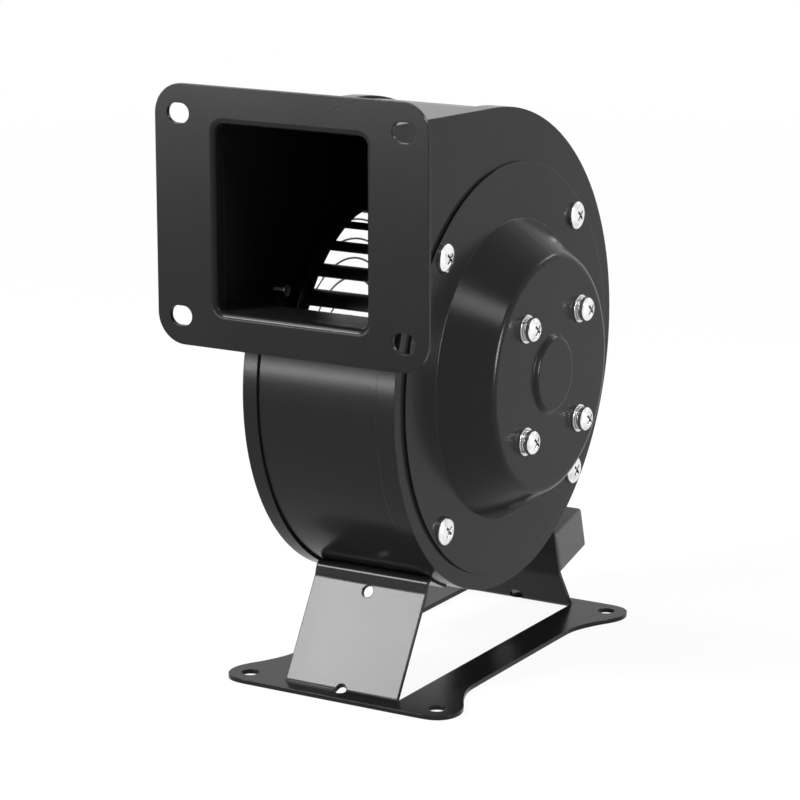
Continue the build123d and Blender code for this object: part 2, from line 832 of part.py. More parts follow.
# Impeller: forward-curved blades between an end ring and a dished back plate
blade_start_x = wheel_inlet_x + ring_gauge
blade_end_x = wheel_motor_x - disc_gauge
blade_tip_radius = wheel_radius - blade_tip_margin
tip = polar((0, 0), blade_tip_radius, blade_turn)
root = (blade_inner_radius, 0)
chord = (tip[0] - root[0], tip[1] - root[1])
chord_length = sqrt(chord[0] ** 2 + chord[1] ** 2)
belly = (
    (root[0] + tip[0]) / 2 + blade_sag * chord[1] / chord_length,
    (root[1] + tip[1]) / 2 - blade_sag * chord[0] / chord_length,
)
with BuildPart() as impeller_blades:
    with BuildSketch(across(blade_start_x)):
        with BuildSketch(mode=Mode.PRIVATE) as blade_section:
            with BuildLine():
                ThreePointArc(root, belly, tip)
            trace(line_width=blade_gauge)
        with PolarLocations(0, blade_count, blade_first_angle):
            add(blade_section)
    extrude(amount=blade_end_x - blade_start_x)
save(impeller_blades.part, "impeller_blades")

with BuildPart() as impeller_ring:
    with BuildSketch(across(wheel_inlet_x)):
        Circle(wheel_radius)
        Circle(ring_inner_radius, mode=Mode.SUBTRACT)
    extrude(amount=ring_gauge)
save(impeller_ring.part, "impeller_ring")

floor_mid_x = disc_floor_x + disc_gauge / 2
rim_mid_x = wheel_motor_x - disc_gauge / 2
with BuildPart() as impeller_disc:
    with BuildSketch(axial):
        with BuildLine():
            FilletPolyline(
                (floor_mid_x, shaft_radius + hub_spigot),
                (floor_mid_x, disc_floor_radius),
                (rim_mid_x, disc_rim_radius),
                (rim_mid_x, wheel_radius),
                radius=disc_bend,
            )
        trace(line_width=disc_gauge)
    revolve(axis=fan_axis)
    with Locations(across(disc_floor_x + disc_gauge)):
        with PolarLocations(hub_circle_radius, hub_rivet_count):
            Hole(hub_rivet_radius, depth=disc_gauge)
save(impeller_disc.part, "impeller_disc")

set_screw_x = (hub_inlet_x + hub_flange_x) / 2
with BuildPart() as impeller_hub:
    with BuildSketch(axial):
        band(hub_inlet_x, hub_flange_x, shaft_radius, hub_radius)
        band(hub_flange_x, disc_floor_x, shaft_radius, hub_flange_radius)
        band(disc_floor_x, disc_floor_x + disc_gauge, shaft_radius, shaft_radius + hub_spigot)
    revolve(axis=fan_axis)
    front_edges = impeller_hub.edges().filter_by(GeomType.CIRCLE).sort_by(Axis.X)[0:2]
    chamfer(front_edges.sort_by(SortBy.RADIUS)[-1], hub_bevel)
    with Locations(across(disc_floor_x)):
        with PolarLocations(hub_circle_radius, hub_rivet_count):
            Hole(hub_rivet_radius, depth=hub_flange_thickness)
    with Locations(Plane((set_screw_x, 0, axis_height + hub_radius), z_dir=(0, 0, 1))):
        Hole(set_screw_radius, depth=hub_radius)
save(impeller_hub.part, "impeller_hub")

with BuildPart() as hub_rivet:
    with BuildSketch(Plane.XZ):
        band(0, hub_rivet_head_radius, -hub_flange_thickness - hub_rivet_head, -hub_flange_thickness)
        band(0, hub_rivet_radius, -hub_flange_thickness, disc_gauge)
        band(0, hub_rivet_head_radius, disc_gauge, disc_gauge + hub_rivet_head)
    revolve(axis=Axis.Z)
save(group_across(hub_rivet.part, disc_floor_x, hub_circle_radius, hub_rivet_count, 0), "hub_rivets")

flat_z = axis_height + shaft_radius - shaft_flat
with BuildPart() as set_screw:
    with BuildSketch(Plane((set_screw_x, 0, flat_z), z_dir=(0, 0, 1))):
        Circle(set_screw_radius)
    extrude(amount=hub_radius + shaft_flat - shaft_radius)
    with BuildSketch(Plane((set_screw_x, 0, axis_height + hub_radius), z_dir=(0, 0, 1))):
        RegularPolygon(set_screw_flats / 2, 6, major_radius=False)
    extrude(amount=-set_screw_flats, mode=Mode.SUBTRACT)
save(set_screw.part, "impeller_set_screw")

# Inlet guard: wire rings on three spokes, each with a screwed eye
guard_x = -plate_outer_x - guard_standoff
spoke_x = guard_x + 2 * guard_wire_radius - guard_weld
eye_top_x = -plate_outer_x - guard_eye_thickness
foot_x = -plate_outer_x - guard_eye_thickness / 2
spoke_bend_radius = guard_foot_radius - guard_eye_radius - guard_bend
with BuildPart() as inlet_guard:
    for index in range(guard_ring_count):
        with BuildSketch(axial):
            with Locations((guard_x, guard_first_radius + index * guard_ring_pitch)):
                Circle(guard_wire_radius)
        revolve(axis=fan_axis)
    with BuildPart(mode=Mode.PRIVATE) as spoke:
        with BuildLine(Plane.XZ) as spoke_path:
            FilletPolyline(
                (0, spoke_x),
                (spoke_bend_radius, spoke_x),
                (guard_foot_radius - guard_eye_radius - guard_wire_radius, foot_x),
                (guard_foot_radius - screw_radius - screw_clearance - guard_wire_radius, foot_x),
                radius=guard_bend_radius,
            )
        with BuildSketch(Plane((0, 0, spoke_x), x_dir=(0, 1, 0), z_dir=(1, 0, 0))):
            Circle(guard_wire_radius)
        sweep()
        with BuildSketch(Plane.XY.offset(eye_top_x)):
            with Locations((guard_foot_radius, 0)):
                Circle(guard_eye_radius)
        extrude(amount=guard_eye_thickness)
        with BuildSketch(Plane.XY.offset(eye_top_x)):
            with Locations((guard_foot_radius, 0)):
                Circle(screw_radius + screw_clearance)
        extrude(amount=guard_eye_thickness, mode=Mode.SUBTRACT)
    with Locations(across(0)):
        with PolarLocations(0, guard_spoke_count, guard_spoke_angle):
            add(spoke)
save(inlet_guard.part, "inlet_guard")

guard_screw = pan_screw(guard_head_radius, guard_head_height, guard_screw_length)
guard_screw_plane = Plane((eye_top_x, 0, axis_height), x_dir=(0, 1, 0), z_dir=(-1, 0, 0))
with BuildPart() as guard_screws:
    with Locations(guard_screw_plane):
        with PolarLocations(guard_foot_radius, guard_spoke_count, -guard_spoke_angle):
            add(guard_screw)
save(guard_screws.part, "guard_screws")
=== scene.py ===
"""Finishes, trimmed base sheet, studio and camera for a black centrifugal fan on a foot bracket."""

import json
import logging
from dataclasses import dataclass, field
from enum import Enum
from math import atan2, cos, hypot, pi, radians, sin

import bpy
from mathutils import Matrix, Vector


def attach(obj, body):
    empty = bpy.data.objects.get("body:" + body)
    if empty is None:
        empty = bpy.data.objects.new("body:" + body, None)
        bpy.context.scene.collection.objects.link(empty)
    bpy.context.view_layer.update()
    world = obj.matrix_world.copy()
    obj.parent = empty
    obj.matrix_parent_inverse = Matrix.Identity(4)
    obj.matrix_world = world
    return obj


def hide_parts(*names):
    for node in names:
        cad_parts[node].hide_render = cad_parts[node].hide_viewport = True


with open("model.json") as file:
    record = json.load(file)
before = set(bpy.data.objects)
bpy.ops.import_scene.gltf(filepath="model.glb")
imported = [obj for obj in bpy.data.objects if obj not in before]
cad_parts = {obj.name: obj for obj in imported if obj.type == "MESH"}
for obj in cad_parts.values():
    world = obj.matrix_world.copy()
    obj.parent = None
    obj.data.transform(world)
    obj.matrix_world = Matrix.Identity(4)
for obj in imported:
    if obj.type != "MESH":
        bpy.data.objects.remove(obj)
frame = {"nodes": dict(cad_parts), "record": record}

log = logging.getLogger("fan")

MM = 0.001

Colour = tuple[float, float, float]
Place = tuple[float, float, float]
Stretch = tuple[float, float, float]
Point = tuple[float, float]
Span = tuple[float, float]


class Operation(Enum):
    """Sums that a Math node can do."""

    ADD = "ADD"
    SUBTRACT = "SUBTRACT"
    MULTIPLY = "MULTIPLY"
    POWER = "POWER"
    LEAST = "MINIMUM"
    MOST = "MAXIMUM"
    FOLD = "PINGPONG"


class Signal:
    """A value that runs through a shader, with arithmetic written on it."""

    def __init__(self, graph: "Graph", socket: bpy.types.NodeSocket) -> None:
        """Wrap one output socket of a graph."""
        self.graph = graph
        self.socket = socket

    def _math(self, operation: Operation, first: "Signal | float", second: "Signal | float") -> "Signal":
        """Add a Math node.

        Args:
            operation: what the node does.
            first: left value.
            second: right value.

        Returns:
            The node's result.
        """
        settings = {"operation": operation.value}
        return self.graph.node("ShaderNodeMath", settings, {0: first, 1: second})["Value"]

    def __add__(self, other: "Signal | float") -> "Signal":
        """Sum."""
        return self._math(Operation.ADD, self, other)

    __radd__ = __add__

    def __mul__(self, other: "Signal | float") -> "Signal":
        """Product."""
        return self._math(Operation.MULTIPLY, self, other)

    __rmul__ = __mul__

    def __sub__(self, other: "Signal | float") -> "Signal":
        """Difference."""
        return self._math(Operation.SUBTRACT, self, other)

    def __rsub__(self, other: float) -> "Signal":
        """Difference from a number."""
        return self._math(Operation.SUBTRACT, other, self)

    def __pow__(self, other: float) -> "Signal":
        """Power."""
        return self._math(Operation.POWER, self, other)

    def centred(self) -> "Signal":
        """Shift a value from 0 to 1 so that its middle is 0."""
        return self - 0.5

    def clamped(self, low: float = 0.0, high: float = 1.0) -> "Signal":
        """Limit the value to a range."""
        return self._math(Operation.MOST, self._math(Operation.LEAST, self, high), low)

    def bands(self, per_metre: float) -> "Signal":
        """Turn a distance into even bands.

        Args:
            per_metre: number of bands in a metre.

        Returns:
            A zigzag, 0 between two bands and 1 along the middle of each.
        """
        return self._math(Operation.FOLD, self * per_metre, 0.5) * 2.0

    def ramp(self, low: float, high: float) -> "Signal":
        """Turn the stretch from low to high into 0 to 1, smoothly.

        Args:
            low: value that gives 0.
            high: value that gives 1.

        Returns:
            The eased value.
        """
        settings = {"interpolation_type": "SMOOTHSTEP"}
        inputs = {"Value": self, "From Min": low, "From Max": high}
        return self.graph.node("ShaderNodeMapRange", settings, inputs)["Result"]


class Graph:
    """The node tree of a material or a world, and the means to fill it."""

    ray_samples: int = 6
    edge_span: Span = (0.01, 0.22)
    recess_span: Span = (0.25, 0.7)

    def __init__(self, owner: bpy.types.Material | bpy.types.World) -> None:
        """Start an empty tree.

        Args:
            owner: the material or world that the tree belongs to.
        """
        owner.use_nodes = True
        self.owner = owner
        self.tree = owner.node_tree
        self.tree.nodes.clear()

    def node(
        self, kind: str, settings: dict | None = None, inputs: dict | None = None
    ) -> dict[str, Signal]:
        """Add any node.

        Args:
            kind: Blender's name of the node type.
            settings: properties of the node, set first.
            inputs: values or signals for its sockets, by name or number.

        Returns:
            The node's outputs by name.
        """
        made = self.tree.nodes.new(kind)
        for name, value in (settings or {}).items():
            setattr(made, name, value)
        for key, value in (inputs or {}).items():
            if isinstance(value, Signal):
                self.tree.links.new(value.socket, made.inputs[key])
            else:
                made.inputs[key].default_value = value
        return {socket.name: Signal(self, socket) for socket in made.outputs if socket.enabled}

    def place(self) -> Signal:
        """Coordinates on the object, in metres."""
        return self.node("ShaderNodeTexCoord")["Object"]

    def stretched(self, scale: Stretch) -> Signal:
        """Object coordinates scaled along each axis."""
        return self.node("ShaderNodeMapping", inputs={"Vector": self.place(), "Scale": scale})["Vector"]

    def noise(self, scale: float, detail: float = 2.0, vector: Signal | None = None) -> Signal:
        """Cloudy noise from 0 to 1.

        Args:
            scale: cells per metre.
            detail: octaves.
            vector: coordinates, the object's own when left out.

        Returns:
            The noise value.
        """
        inputs = {"Vector": vector or self.place(), "Scale": scale, "Detail": detail}
        return self.node("ShaderNodeTexNoise", inputs=inputs)["Fac"]

    def edges(self, radius: float) -> tuple[Signal, Signal]:
        """Find the sharp edges of a piece.

        Args:
            radius: width of an edge in metres.

        Returns:
            A mask that is 1 on edges, and the rounded normal there.
        """
        settings = {"samples": self.ray_samples}
        rounded = self.node("ShaderNodeBevel", settings, {"Radius": radius})["Normal"]
        flat = self.node("ShaderNodeNewGeometry")["Normal"]
        agreed = self.node("ShaderNodeVectorMath", {"operation": "DOT_PRODUCT"}, {0: rounded, 1: flat})
        return (1.0 - agreed["Value"]).ramp(*self.edge_span), rounded

    def hollows(self, reach: float) -> Signal:
        """Mask that is 1 in recesses and corners.

        Args:
            reach: distance in metres at which a wall shades its neighbour.

        Returns:
            The mask.
        """
        settings = {"samples": self.ray_samples}
        open_sky = self.node("ShaderNodeAmbientOcclusion", settings, {"Distance": reach})["AO"]
        return (1.0 - open_sky).ramp(*self.recess_span)

    def mix(self, factor: Signal, first: Colour | Signal, second: Colour | Signal) -> Signal:
        """Blend two colours.

        Args:
            factor: 0 gives the first, 1 the second.
            first: colour or signal.
            second: colour or signal.

        Returns:
            The blended colour.
        """
        inputs: dict = {0: factor}
        for socket, value in ((6, first), (7, second)):
            inputs[socket] = value if isinstance(value, Signal) else (*value, 1.0)
        return self.node("ShaderNodeMix", {"data_type": "RGBA"}, inputs)["Result"]

    def bump(self, height: Signal, depth: float, normal: Signal | None = None) -> Signal:
        """Turn a height into a normal.

        Args:
            height: value from 0 to 1.
            depth: real depth in metres.
            normal: normal to start from.

        Returns:
            The changed normal.
        """
        inputs: dict = {"Height": height, "Distance": depth, "Strength": 1.0}
        if normal is not None:
            inputs["Normal"] = normal
        return self.node("ShaderNodeBump", inputs=inputs)["Normal"]

    def finish(self, inputs: dict) -> bpy.types.Material:
        """Close the material with a Principled shader.

        Args:
            inputs: the shader's sockets.

        Returns:
            The finished material.
        """
        shader = self.node("ShaderNodeBsdfPrincipled", inputs=inputs)["BSDF"]
        self.node("ShaderNodeOutputMaterial", inputs={"Surface": shader})
        return self.owner


@dataclass(frozen=True)
class SatinPaint:
    """Stoved black paint with a fine orange peel, and a little wear on its edges."""

    name: str
    colour: Colour = (0.0078, 0.0078, 0.008)
    worn: Colour = (0.04, 0.039, 0.038)
    roughness: float = 0.21
    gloss: float = 0.1
    limits: Span = (0.15, 0.8)
    cloud_scale: float = 30.0
    cloud_grain: Stretch = (1.0, 0.7, 1.0)
    cloud_span: Span = (0.2, 0.8)
    cloud_lift: float = 1.15
    cloud_dulling: float = 0.04
    peel_scale: float = 900.0
    peel_depth: float = 0.012 * MM
    peel_dulling: float = 0.03
    edge_width: float = 0.45 * MM
    wear: float = 0.55
    wear_scale: float = 160.0
    wear_span: Span = (0.38, 0.66)
    wear_dulling: float = 0.08

    def build(self) -> bpy.types.Material:
        """Make the material.

        Returns:
            The finished material.
        """
        graph = Graph(bpy.data.materials.new(self.name))
        edge, rounded = graph.edges(self.edge_width)
        clouds = graph.noise(self.cloud_scale, vector=graph.stretched(self.cloud_grain))
        peel = graph.noise(self.peel_scale)
        rubbed = edge * graph.noise(self.wear_scale, detail=3.0).ramp(*self.wear_span) * self.wear
        lifted = tuple(channel * self.cloud_lift for channel in self.colour)
        shade = graph.mix(clouds.ramp(*self.cloud_span), self.colour, lifted)
        uneven = clouds.centred() * self.cloud_dulling + peel.centred() * self.peel_dulling
        roughness = uneven + rubbed * self.wear_dulling + self.roughness
        return graph.finish(
            {
                "Base Color": graph.mix(rubbed.clamped(), shade, self.worn),
                "Roughness": roughness.clamped(*self.limits),
                "Specular IOR Level": self.gloss,
                "Normal": graph.bump(peel, self.peel_depth, rounded),
            }
        )


@dataclass(frozen=True)
class PlatedMetal:
    """Bright plated steel, with fine drawn lines, faint clouding and painted shade darkening its
    recesses.
    """

    name: str
    colour: Colour = (0.88, 0.885, 0.89)
    shadow: Colour = (0.66, 0.67, 0.69)
    # Near-black colour painted into recesses and corners as shade, and the reach of that painted shade.
    painted_recess_shade: Colour = (0.06, 0.058, 0.055)
    painted_shade_reach: float = 1.2 * MM
    roughness: float = 0.17
    limits: Span = (0.06, 0.7)
    cloud_scale: float = 260.0
    cloud_span: Span = (0.35, 0.75)
    cloud_dulling: float = 0.12
    line_scale: float = 2600.0
    line_grain: Stretch = (0.08, 1.0, 1.0)
    line_depth: float = 0.001 * MM
    line_dulling: float = 0.14
    edge_width: float = 0.18 * MM

    def build(self) -> bpy.types.Material:
        """Make the material.

        Returns:
            The finished material.
        """
        graph = Graph(bpy.data.materials.new(self.name))
        _, rounded = graph.edges(self.edge_width)
        clouds = graph.noise(self.cloud_scale, detail=3.0)
        lines = graph.noise(self.line_scale, detail=1.0, vector=graph.stretched(self.line_grain))
        plated = graph.mix(clouds.ramp(*self.cloud_span), self.colour, self.shadow)
        uneven = lines.centred() * self.line_dulling + clouds.centred() * self.cloud_dulling
        # Painted shade: the plated colour is darkened towards near-black wherever ambient occlusion
        # finds a recess or corner.
        return graph.finish(
            {
                "Base Color": graph.mix(graph.hollows(self.painted_shade_reach), plated, self.painted_recess_shade),
                "Metallic": 1.0,
                "Roughness": (uneven + self.roughness).clamped(*self.limits),
                "Normal": graph.bump(lines, self.line_depth, rounded),
            }
        )


@dataclass(frozen=True)
class CastMetal:
    """Cast aluminium with a grainy skin."""

    name: str
    colour: Colour = (0.55, 0.56, 0.57)
    pits: Colour = (0.3, 0.3, 0.31)
    metallic: float = 0.9
    roughness: float = 0.5
    limits: Span = (0.25, 0.9)
    grain_scale: float = 700.0
    grain_depth: float = 0.03 * MM
    grain_dulling: float = 0.3
    stain_scale: float = 60.0
    pit_span: Span = (0.35, 0.65)

    def build(self) -> bpy.types.Material:
        """Make the material.

        Returns:
            The finished material.
        """
        graph = Graph(bpy.data.materials.new(self.name))
        grain = graph.noise(self.grain_scale, detail=4.0)
        stains = graph.noise(self.stain_scale, detail=3.0)
        mottle = (grain * 0.5 + stains * 0.5).ramp(*self.pit_span)
        roughness = grain.centred() * self.grain_dulling + self.roughness
        return graph.finish(
            {
                "Base Color": graph.mix(mottle, self.pits, self.colour),
                "Metallic": self.metallic,
                "Roughness": roughness.clamped(*self.limits),
                "Normal": graph.bump(grain, self.grain_depth),
            }
        )


@dataclass(frozen=True)
class LaminatedSteel:
    """Electrical steel sheets stacked along the fan axis."""

    name: str
    colour: Colour = (0.2, 0.2, 0.21)
    stain: Colour = (0.13, 0.12, 0.11)
    seam: Colour = (0.03, 0.028, 0.026)
    seam_span: Span = (0.0, 0.25)
    seam_strength: float = 0.8
    metallic: float = 0.85
    roughness: float = 0.42
    limits: Span = (0.2, 0.8)
    cloud_scale: float = 180.0
    cloud_dulling: float = 0.2
    sheets_per_metre: float = 2000.0
    sheet_depth: float = 0.03 * MM

    def build(self) -> bpy.types.Material:
        """Make the material.

        Returns:
            The finished material.
        """
        graph = Graph(bpy.data.materials.new(self.name))
        along = graph.node("ShaderNodeSeparateXYZ", inputs={"Vector": graph.place()})["X"]
        sheets = along.bands(self.sheets_per_metre)
        clouds = graph.noise(self.cloud_scale, detail=3.0)
        seam = (1.0 - sheets.ramp(*self.seam_span)) * self.seam_strength
        roughness = clouds.centred() * self.cloud_dulling + self.roughness
        return graph.finish(
            {
                "Base Color": graph.mix(seam, graph.mix(clouds, self.colour, self.stain), self.seam),
                "Metallic": self.metallic,
                "Roughness": roughness.clamped(*self.limits),
                "Normal": graph.bump(sheets, self.sheet_depth),
            }
        )


@dataclass(frozen=True)
class WoundCopper:
    """Varnished magnet wire laid round the fan axis."""

    name: str
    colour: Colour = (0.42, 0.15, 0.045)
    shade: Colour = (0.12, 0.035, 0.012)
    shade_span: Span = (0.15, 0.75)
    metallic: float = 0.35
    roughness: float = 0.28
    limits: Span = (0.1, 0.7)
    varnish: float = 0.4
    varnish_roughness: float = 0.15
    cloud_scale: float = 220.0
    cloud_share: float = 0.3
    cloud_dulling: float = 0.2
    wires_per_metre: float = 1900.0
    wire_depth: float = 0.12 * MM

    def build(self) -> bpy.types.Material:
        """Make the material.

        Returns:
            The finished material.
        """
        graph = Graph(bpy.data.materials.new(self.name))
        parts = graph.node("ShaderNodeSeparateXYZ", inputs={"Vector": graph.place()})
        height = parts["Z"] - axis_height()
        reach = (parts["Y"] * parts["Y"] + height * height) ** 0.5
        strands = (reach + parts["X"]).bands(self.wires_per_metre)
        clouds = graph.noise(self.cloud_scale)
        lit = (strands * (1.0 - self.cloud_share) + clouds * self.cloud_share).ramp(*self.shade_span)
        roughness = clouds.centred() * self.cloud_dulling + self.roughness
        return graph.finish(
            {
                "Base Color": graph.mix(lit, self.shade, self.colour),
                "Metallic": self.metallic,
                "Roughness": roughness.clamped(*self.limits),
                "Coat Weight": self.varnish,
                "Coat Roughness": self.varnish_roughness,
                "Normal": graph.bump(strands, self.wire_depth),
            }
        )


@dataclass(frozen=True)
class MouldedPlastic:
    """Dark moulded plastic or rubber with a fine spark-eroded grain and some dust."""

    name: str
    colour: Colour = (0.035, 0.035, 0.037)
    roughness: float = 0.5
    limits: Span = (0.2, 0.95)
    grain_scale: float = 1500.0
    grain_depth: float = 0.015 * MM
    grain_dulling: float = 0.2
    edge_width: float = 0.3 * MM
    edge_dust: float = 0.25
    dust: float = 0.35
    dust_scale: float = 70.0
    dust_span: Span = (0.4, 0.8)
    dust_lift: float = 1.9

    def build(self) -> bpy.types.Material:
        """Make the material.

        Returns:
            The finished material.
        """
        graph = Graph(bpy.data.materials.new(self.name))
        edge, rounded = graph.edges(self.edge_width)
        grain = graph.noise(self.grain_scale)
        patches = graph.noise(self.dust_scale, detail=3.0).ramp(*self.dust_span)
        dust = (patches * self.dust + edge * self.edge_dust).clamped()
        dusty = tuple(channel * self.dust_lift for channel in self.colour)
        roughness = grain.centred() * self.grain_dulling + self.roughness
        return graph.finish(
            {
                "Base Color": graph.mix(dust, self.colour, dusty),
                "Roughness": roughness.clamped(*self.limits),
                "Normal": graph.bump(grain, self.grain_depth, rounded),
            }
        )


def axis_height() -> float:
    """Height of the fan axis, read from the wheel's joint."""
    return frame["record"]["behaviour"]["joints"][0]["pos_m"][2]


@dataclass
class Finishes:
    """Every finish on the fan, and the nodes that wear it."""

    nodes: dict[str, tuple[str, ...]] = field(
        default_factory=lambda: {
            "housing_paint": (
                "outlet_flange",
                "scroll_wrapper",
                "motor_side_plate",
                "inlet_side_plate",
                "motor_cover",
                "base_bracket",
            ),
            "wheel_paint": ("impeller_blades", "impeller_ring", "impeller_disc"),
            "screw_plating": (
                "cover_screws",
                "motor_screws",
                "guard_screws",
                "leg_rivets",
                "hub_rivets",
            ),
            "washer_plating": (
                "motor_flat_washers",
                "motor_spring_washers",
                "capacitor_washer",
                "capacitor_nut",
            ),
            "guard_plating": ("inlet_guard",),
            "bracket_casting": ("motor_front_bracket", "motor_rear_bracket", "rotor_end_rings"),
            "ground_steel": (
                "shaft",
                "shaft_clips",
                "bearing_front",
                "bearing_rear",
                "impeller_set_screw",
            ),
            "hub_steel": ("impeller_hub",),
            "core_steel": ("stator_core", "rotor_core"),
            "coil_copper": ("stator_windings",),
            "capacitor_case": ("capacitor",),
            "grommet_rubber": ("cable_grommet",),
        }
    )

    def build(self) -> dict[str, bpy.types.Material]:
        """Make every material.

        Returns:
            The materials by name.
        """
        finishes = (
            SatinPaint("housing_paint"),
            SatinPaint("wheel_paint", colour=(0.006, 0.006, 0.006), roughness=0.46, wear=0.3),
            PlatedMetal("screw_plating"),
            PlatedMetal("washer_plating", colour=(0.72, 0.73, 0.74), roughness=0.24),
            PlatedMetal("guard_plating", colour=(0.5, 0.51, 0.53), roughness=0.3),
            CastMetal("bracket_casting"),
            PlatedMetal("ground_steel", colour=(0.5, 0.5, 0.51), roughness=0.24),
            PlatedMetal("hub_steel", colour=(0.32, 0.32, 0.33), roughness=0.38),
            LaminatedSteel("core_steel"),
            WoundCopper("coil_copper"),
            MouldedPlastic("capacitor_case"),
            MouldedPlastic("grommet_rubber", colour=(0.018, 0.018, 0.018), roughness=0.65),
        )
        return {finish.name: finish.build() for finish in finishes}

    def dress(self) -> None:
        """Give every node its material."""
        materials = self.build()
        for name, nodes in self.nodes.items():
            for node in nodes:
                for slot in frame["nodes"][node].material_slots:
                    slot.material = materials[name]
                log.info("%s wears %s", node, name)


@dataclass
class BaseSheet:
    """The stamped base with its two bent legs, trimmed to the slimmer outline of its ears and bars.

    Lengths are in millimetres and angles in degrees. All four quarters of the sheet are alike.
    """

    node: str = "base_bracket"
    thickness: float = 1.5
    stock_bar: float = 35.6
    stock_end: float = 70.5
    hole: Point = (36.2, 61.0)
    hole_margin: float = 3.5
    ear_start: float = 32.0
    pivot: Point = (28.0, 50.0)
    ear: tuple[Point, ...] = (
        (34.6, 30.0),
        (34.7, 36.5),
        (36.1, 41.9),
        (39.3, 49.0),
        (42.3, 53.6),
        (43.9, 58.0),
        (43.7, 62.2),
        (42.3, 65.6),
        (38.9, 68.1),
        (33.5, 68.7),
        (28.0, 68.6),
        (27.0, 68.6),
    )
    corner_share: float = 0.25
    rounds: int = 3
    cuts: int = 5
    slack: float = 0.02
    level_slack: float = 0.01
    weld: float = 0.001
    flat_turn: float = 0.2
    flat_weight: int = 100
    smooth_turn: float = 30.0

    def rounded_ear(self) -> list[Point]:
        """Cut the corners of the ear's outline again and again, until it is a smooth curve.

        Returns:
            The points of the rounded outline.
        """
        near, far = self.corner_share, 1.0 - self.corner_share
        line = list(self.ear)
        for _ in range(self.rounds):
            softer = [line[0]]
            for (x0, y0), (x1, y1) in zip(line, line[1:]):
                softer.append((far * x0 + near * x1, far * y0 + near * y1))
                softer.append((near * x0 + far * x1, near * y0 + far * y1))
            line = [*softer, line[-1]]
        return line

    def on_outline(self, place: Vector) -> bool:
        """Whether a point of the stock sheet is on its outer edge.

        Args:
            place: the point, in metres.

        Returns:
            True on the outer edge of the flat part.
        """
        across, along = abs(place.x) / MM, abs(place.y) / MM
        flat = place.z / MM < self.thickness + self.slack
        outside = across > self.stock_bar - self.slack or along > self.stock_end - self.slack
        clear_of_hole = hypot(across - self.hole[0], along - self.hole[1]) > self.hole_margin
        return flat and outside and clear_of_hole

    def trimmed(self, across: float, along: float, ear: list[Point]) -> Point:
        """Move one point of the stock outline to the trimmed outline.

        Args:
            across: distance from the long middle line.
            along: distance from the short middle line.
            ear: turn and reach of each point of the rounded ear, seen from the pivot.

        Returns:
            The new distances.
        """
        if along < self.ear_start:
            return self.ear[0][0], along
        if across < self.pivot[0]:
            return across, self.ear[-1][1]
        turn = atan2(along - self.pivot[1], across - self.pivot[0])
        for (turn_0, reach_0), (turn_1, reach_1) in zip(ear, ear[1:]):
            if turn_0 <= turn <= turn_1:
                share = (turn - turn_0) / (turn_1 - turn_0)
                reach = reach_0 + share * (reach_1 - reach_0)
                return self.pivot[0] + reach * cos(turn), self.pivot[1] + reach * sin(turn)
        return across, along

    def stock(self) -> bpy.types.Object:
        """Copy the stock sheet, joined up and with one face for each flat.

        Returns:
            The copy, selected and active.
        """
        sheet = bpy.data.objects.new("base_sheet", frame["nodes"][self.node].data.copy())
        bpy.context.collection.objects.link(sheet)
        bpy.ops.object.select_all(action="DESELECT")
        sheet.select_set(True)
        bpy.context.view_layer.objects.active = sheet
        bpy.ops.object.mode_set(mode="EDIT")
        bpy.ops.mesh.select_mode(type="EDGE")
        bpy.ops.mesh.select_all(action="SELECT")
        bpy.ops.mesh.remove_doubles(threshold=self.weld * MM)
        bpy.ops.mesh.dissolve_limited(angle_limit=radians(self.flat_turn))
        bpy.ops.mesh.customdata_custom_splitnormals_clear()
        bpy.ops.mesh.select_all(action="DESELECT")
        bpy.ops.object.mode_set(mode="OBJECT")
        return sheet

    def divide(self, mesh: bpy.types.Mesh) -> None:
        """Give the outer edges enough points to follow a curve.

        Args:
            mesh: the stock sheet's mesh.
        """
        for edge in mesh.edges:
            first, second = (mesh.vertices[index].co for index in edge.vertices)
            level = abs(first.z - second.z) < self.level_slack * MM
            edge.select = level and self.on_outline(first) and self.on_outline(second)
        bpy.ops.object.mode_set(mode="EDIT")
        bpy.ops.mesh.subdivide(number_cuts=self.cuts)
        bpy.ops.object.mode_set(mode="OBJECT")

    def trim(self, mesh: bpy.types.Mesh) -> None:
        """Pull the stock outline in to the rounded ears and the slimmer bars.

        Args:
            mesh: the divided mesh.
        """
        ear = []
        for x, y in self.rounded_ear():
            across, along = x - self.pivot[0], y - self.pivot[1]
            ear.append((atan2(along, across), hypot(across, along)))
        for vertex in mesh.vertices:
            place = vertex.co
            if self.on_outline(place):
                across, along = self.trimmed(abs(place.x) / MM, abs(place.y) / MM, ear)
                place.x = across * MM * (1 if place.x > 0 else -1)
                place.y = along * MM * (1 if place.y > 0 else -1)

    def smooth(self, sheet: bpy.types.Object) -> None:
        """Shade the bends smoothly and the flats flat.

        Args:
            sheet: the trimmed sheet.
        """
        bpy.ops.object.shade_smooth_by_angle(angle=radians(self.smooth_turn))
        flats = sheet.modifiers.new("flats", "WEIGHTED_NORMAL")
        flats.keep_sharp = True
        flats.weight = self.flat_weight
        bpy.ops.object.modifier_apply(modifier=flats.name)

    def build(self) -> None:
        """Cut the sheet from a copy of the stock one, which it then stands for."""
        sheet = self.stock()
        self.divide(sheet.data)
        self.trim(sheet.data)
        self.smooth(sheet)
        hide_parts(self.node)
        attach(sheet, "housing")
        log.info("base_sheet stands for %s, %d vertices", self.node, len(sheet.data.vertices))


